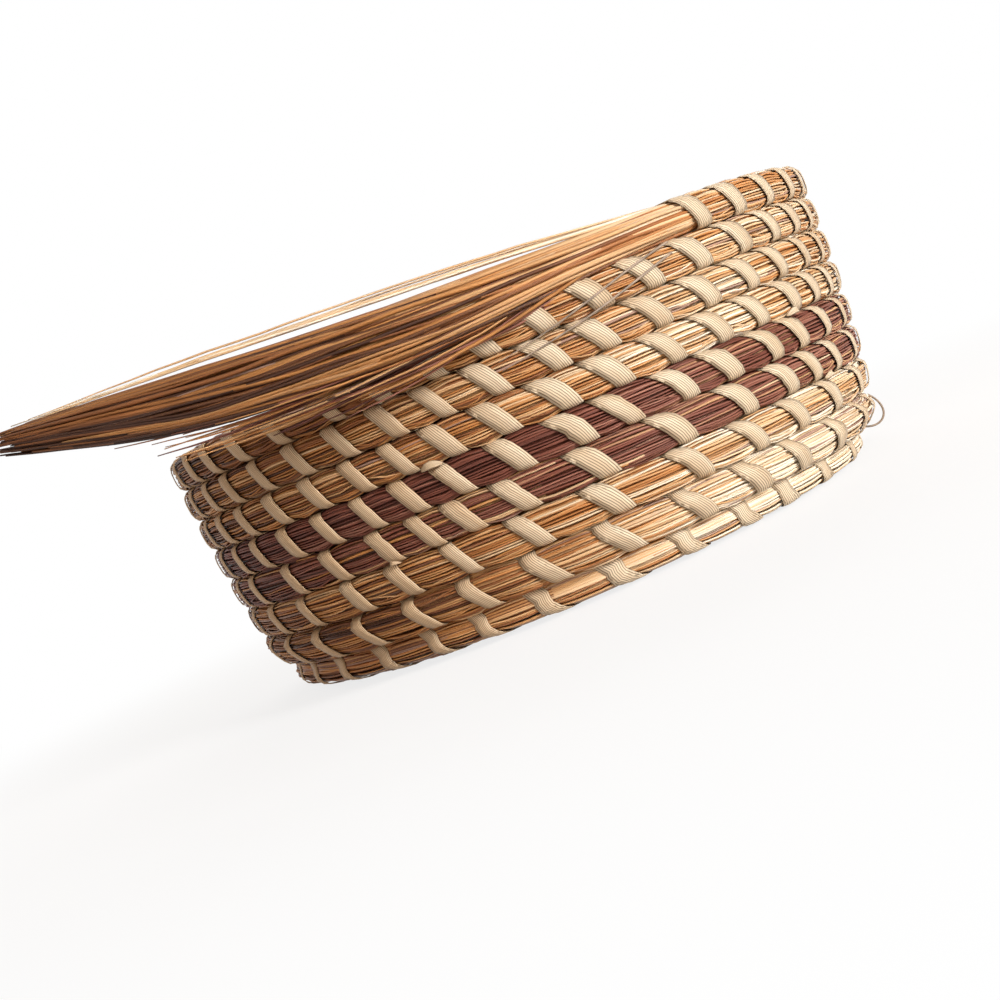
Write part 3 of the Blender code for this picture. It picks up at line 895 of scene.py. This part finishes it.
# Blades that are each given point by point: a list of (points, radii, number for the colour, pale, dark)
def makeStrands(name, strands, material, sides):
    points, edges = [], []
    values = {"bladePlace": [], "bladeSize": [], "pale": [], "darkShare": []}
    for strandPoints, radii, number, pale, dark in strands:
        edges += [(len(points) + i, len(points) + i + 1) for i in range(len(strandPoints) - 1)]
        points += list(strandPoints)
        values["bladePlace"] += [(length, number, length * 3) for length in lengthsAlong(strandPoints)]
        values["bladeSize"] += list(radii)
        values["pale"] += [pale] * len(radii)
        values["darkShare"] += [dark] * len(radii)
    obj = makeWire(name, points, edges, values)
    given = startTree(name + "Sweep", {"Sides": sides})
    swept = sweep(toCurve(given["Geometry"]), given["Sides"], readValue("bladeSize"))
    return growPiece(obj, endTree(swept, given["Material"]), {"Sides": sides}, material)


# a piece that bends from the basket over into the working end
def bendPiece(piece, nodes):
    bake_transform(piece)
    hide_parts(*nodes)


routePoints, routeSides, routeShares = freeRoute()
widthAt = free["halfWidth"] * np.interp(routeShares, free["places"], free["widths"])
heightAt = free["halfHeight"] * np.interp(routeShares, free["places"], free["heights"])
insideRow = np.clip(-routeShares / 0.03, 0, 1)
widthAt = widthAt * (1 - free["insideNarrower"] * insideRow)
heightAt = heightAt * (1 - free["insideNarrower"] * insideRow)
path = makePath("working_end_blades", routePoints, {
    "side": routeSides, "share": np.maximum(routeShares, -0.12), "width": widthAt, "height": heightAt,
    "darkShare": np.zeros(len(routePoints)), "pale": np.interp(routeShares, free["places"], free["paintedLightAlong"])})
bendPiece(growPiece(path, makeLooseTree(), loose, grassMaterial), ["working_end"])


# a point beside the loose bundle: share of its length, angle round it, how far off its face, how far it hangs
def besideBundle(share, angle, lift, drop):
    spot = [np.interp(share, routeShares, routePoints[:, i]) for i in range(3)]
    side = unit(np.stack([np.interp(share, routeShares, routeSides[:, i]) for i in range(3)], -1))
    width = np.interp(share, routeShares, widthAt) + lift
    height = np.interp(share, routeShares, heightAt) + lift
    points = np.stack(spot, -1) + side * (np.cos(angle) * width)[..., None]
    points[..., 2] += np.sin(angle) * height - drop
    return points


# one long sheaf above the bundle, and a fan that hangs away below it; starts and ends are shares of its length
strays = {
    "upper": {"count": 5, "starts": (0.0, 0.10), "ends": (0.86, 0.97), "shorter": 0, "degrees": (80, 112),
              "turn": 0.25, "arch": 0.0030, "archShares": (0.15, 1.1), "lift": -0.0002, "pale": (1.0, 1.5),
              "colorFrom": 560},
    # the lower fan gets low paleness, painted shade where it hangs below the bundle; some of its blades are maroon
    "lower": {"count": 54, "starts": (0.03, 0.34), "ends": (0.55, 0.90), "shorter": 0.12, "degrees": (-150, -50),
              "turn": 0.3, "drop": 0.0098, "bow": 0.0016, "lift": -0.0006, "pale": (-0.25, 0.4), "darkest": 0.9,
              "colorFrom": 500},
    "radius": 0.00032, "radii": (0.7, 1.25), "tremble": 0.00006, "points": 26, "seed": 11,
}


def makeStrays(pieceName, nodes, upper):
    chance = np.random.default_rng(strays["seed"] + upper)
    kind = strays["upper" if upper else "lower"]
    places = np.linspace(0, 1, strays["points"])
    strands = []
    for number in range(kind["count"]):
        hang = 0 if upper else chance.uniform(0.0, 1.0)
        start, end = chance.uniform(*kind["starts"]), chance.uniform(*kind["ends"]) - kind["shorter"] * hang
        shares = start + (end - start) * places
        if upper:
            arch = kind["arch"] * chance.uniform(*kind["archShares"]) * np.sin(math.pi * places ** 0.9)
            angle = math.radians(chance.uniform(*kind["degrees"])) + kind["turn"] * (places - 0.5)
            points = besideBundle(shares, angle, arch + kind["lift"], 0 * places)
        else:
            angle = math.radians(chance.uniform(*kind["degrees"]))
            angle = angle + chance.uniform(-kind["turn"], kind["turn"]) * places
            fall = kind["drop"] * (0.25 + 0.75 * hang) * places ** 1.25 + kind["bow"] * np.sin(math.pi * places)
            points = besideBundle(shares, angle, 0 * places + kind["lift"], fall)
        pale = chance.uniform(*kind["pale"])
        dark = 0 if upper else chance.choice([0.0, kind["darkest"]])
        points = points + np.cumsum(chance.normal(0, strays["tremble"], points.shape), axis=0)
        radii = strays["radius"] * chance.uniform(*strays["radii"]) * np.interp(places, (0, 0.75, 1), (1, 0.9, 0.3))
        strands.append((points, radii, kind["colorFrom"] + number, pale, dark))
    bendPiece(makeStrands(pieceName, strands, grassMaterial, 4), nodes)


# blades folded across the middle of the knot
heart = {"blades": 40, "reach": 0.0040, "halfHeight": 0.0026, "bow": 0.0006, "radius": 0.00040, "seed": 3}


def makeHeart():
    chance = np.random.default_rng(heart["seed"])
    strands = []
    for number in range(heart["blades"]):
        first = chance.uniform(0, math.tau)
        second = first + math.pi + chance.uniform(-0.7, 0.7)
        level = coil["baseHeight"] + heart["halfHeight"] * (2 * number / (heart["blades"] - 1) - 1)
        places = np.linspace(0, 1, 8)
        ends = [heart["reach"] * np.array([math.cos(angle), math.sin(angle)]) for angle in (first, second)]
        flat = ends[0] + (ends[1] - ends[0]) * places[:, None]
        height = level + heart["bow"] * np.sin(math.pi * places)
        radii = np.full(8, heart["radius"] * chance.uniform(0.8, 1.2))
        strands.append((np.column_stack([flat, height]), radii, 800 + number, chance.uniform(0.1, 0.8), 0))
    rideBasket(makeStrands("start_knot_heart", strands, grassMaterial, 4), [])


makeHeart()
makeStrays("upper_stray_blades", ["upper_stray_blade"], True)
makeStrays("lower_stray_blades", ["lower_stray_blade_1", "lower_stray_blade_2", "lower_stray_blade_3"], False)
print("working end made")


# Grey strands that lie over the rows below the working end, and the loop at the wall's side

greyStrands = {
    "color": (0.36, 0.27, 0.20), "roughness": 0.55, "shine": 0.5,
    "from": 0.985, "to": 0.905,          # turns
    "start": 0.00325, "drop": 0.0085,    # from above the row's middle down across the next rows
    "step": 0.0024, "lift": 0.00425, "wave": 0.00035, "sway": 0.0005, "radius": 0.00024, "points": 28,
    "loopTurns": 7.140625, "loopReach": 0.0078, "loopFoot": 0.0021, "loopRadius": 0.00030,
}


def makeGreyMaterial():
    material, shader = startMaterial("greyStrand")
    patch = noise(objectSpot(), 3.0, 260.0)
    dull = tuple(value * 0.5 for value in greyStrands["color"])
    setSurface(shader, mixColor(mapRange(patch, 0.35, 0.65), dull, greyStrands["color"]), greyStrands)
    return material


greyMaterial = makeGreyMaterial()


def growGrey(node, points, radii, number):
    piece = makeStrands(node + "_blade", [(points, radii, number, 0.5, 0)], greyMaterial, 6)
    rideBasket(piece, [node])


g = greyStrands
places = np.linspace(0, 1, g["points"])
for number in (1, 2):
    turns = g["from"] + (g["to"] - g["from"]) * places
    points = besideRow(turns, g["lift"] + g["wave"] * np.sin(math.pi * places * 3) ** 2, 0 * places)
    points[:, 2] = (courseHeight(g["from"]) + g["start"] - (number - 1) * g["step"] - g["drop"] * places
                    + g["sway"] * np.sin(5 * places + number))
    radii = g["radius"] * np.interp(places, (0, 0.6, 1), (1.15, 1, 0.4))
    growGrey(f"cross_strand_{number}", points, radii, 700 + number)
angles = np.linspace(-math.pi / 2, math.pi / 2, g["points"])
reach = g["loopFoot"] + (g["loopReach"] - g["loopFoot"]) * np.cos(angles)
points = besideRow(np.full(g["points"], g["loopTurns"]), reach, -np.sin(angles) * coil["rowPitch"] / 2)
growGrey("strand_loop", points, np.full(g["points"], g["loopRadius"]), 703)
print("grey strands made")


# Floor, light and camera

floorLook = {"reach": 3, "color": (0.86, 0.86, 0.86, 1), "roughness": 0.9, "shine": 0.1, "fadeFrom": 0.10,
             "fadeTo": 0.34, "leastGlow": 0.80}
room = {"white": (1, 1, 1, 1), "ambient": (1.0, 0.82, 0.67, 1), "strength": 0.42}


def showInstead(lit, white, share, output):
    nodes = building["tree"].nodes
    mixed = fromNode("ShaderNodeMixShader", {0: share, 1: Value(nodes[lit].outputs[0]), 2: white})
    plug(nodes[output].inputs["Surface"], mixed)


# white to the eye all the same, and it keeps the shadow near the basket
def makeFloor():
    mesh = bpy.data.meshes.new("floor")
    far = floorLook["reach"]
    mesh.from_pydata([(-far, -far, 0), (far, -far, 0), (far, far, 0), (-far, far, 0)], [], [(0, 1, 2, 3)])
    floor = newObject("floor", mesh)
    material, shader = startMaterial("paleFloor")
    setSurface(shader, floorLook["color"], floorLook)
    glow = fromNode("ShaderNodeEmission", {"Color": room["white"], "Strength": 1.0})
    distance = fromNode("ShaderNodeVectorMath", {0: objectSpot()}, "Value", operation="LENGTH")
    fade = mapRange(distance, floorLook["fadeFrom"], floorLook["fadeTo"], floorLook["leastGlow"], 1.0, "SMOOTHSTEP")
    showInstead("Principled BSDF", glow, seenDirectly() * fade, "Material Output")
    mesh.materials.append(material)


def makeWorld():
    world = bpy.data.worlds.new("paleRoom")
    bpy.context.scene.world = world
    world.use_nodes = True
    building["tree"] = world.node_tree
    ambient = world.node_tree.nodes["Background"]
    plug(ambient.inputs["Color"], room["ambient"])
    plug(ambient.inputs["Strength"], room["strength"])
    white = fromNode("ShaderNodeBackground", {"Color": room["white"], "Strength": 1.0})
    showInstead("Background", white, seenDirectly(), "World Output")


lamps = {
    "key": {"spot": (0.62, -0.66, 0.32), "aim": (0.06, -0.03, 0.03), "size": 0.35, "spread": 44, "power": 0.84,
            "color": (1.0, 0.99, 0.97)},
    "fill": {"spot": (-0.30, -0.95, 0.30), "aim": (0, 0, 0.035), "size": 0.90, "spread": 180, "power": 1.7,
             "color": (1.0, 0.94, 0.88)},
    "back": {"spot": (0.10, 0.75, 0.60), "aim": (0, 0, 0.035), "size": 0.60, "spread": 180, "power": 4.0,
             "color": (1.0, 1.0, 1.0)},
}


def makeLamp(name, settings):
    lamp = bpy.data.lights.new(name, "AREA")
    lamp.size = settings["size"]
    lamp.energy = settings["power"]
    lamp.color = settings["color"]
    lamp.spread = math.radians(settings["spread"])
    obj = newObject(name, lamp)
    obj.location = settings["spot"]
    aim = Vector(settings["aim"]) - obj.location
    obj.rotation_euler = aim.to_track_quat("-Z", "Y").to_euler()


view = {
    "spot": (0.0, -0.41196, 0.04578),
    "lens": 57.874, "sensor": 36, "nearest": 0.01,
    "yaw": 0.0344373, "pitch": -0.0532865, "roll": -0.0305773, "tilt": math.radians(22),
}


def turnPair(first, second, angle):
    cosine, sine = math.cos(angle), math.sin(angle)
    return first * cosine + second * sine, second * cosine - first * sine


def makeCamera():
    camera = bpy.data.cameras.new("camera")
    camera.lens = view["lens"]
    camera.sensor_width = view["sensor"]
    camera.clip_start = view["nearest"]
    obj = newObject("camera", camera)
    right, level = turnPair(Vector((1, 0, 0)), Vector((0, 1, 0)), view["yaw"])
    ahead, up = turnPair(level, Vector((0, 0, 1)), view["pitch"])
    right, up = turnPair(right, up, view["roll"])
    right, up = turnPair(right, up, -view["tilt"])
    obj.matrix_world = Matrix.Translation(view["spot"]) @ Matrix((right, up, -ahead)).transposed().to_4x4()
    bpy.context.scene.camera = obj


makeFloor()
makeWorld()
for lampName, lampSettings in lamps.items():
    makeLamp(lampName, lampSettings)
makeCamera()
bpy.context.scene.view_settings.view_transform = "Standard"

print("whole object", sum(triangleCounts), "triangles")
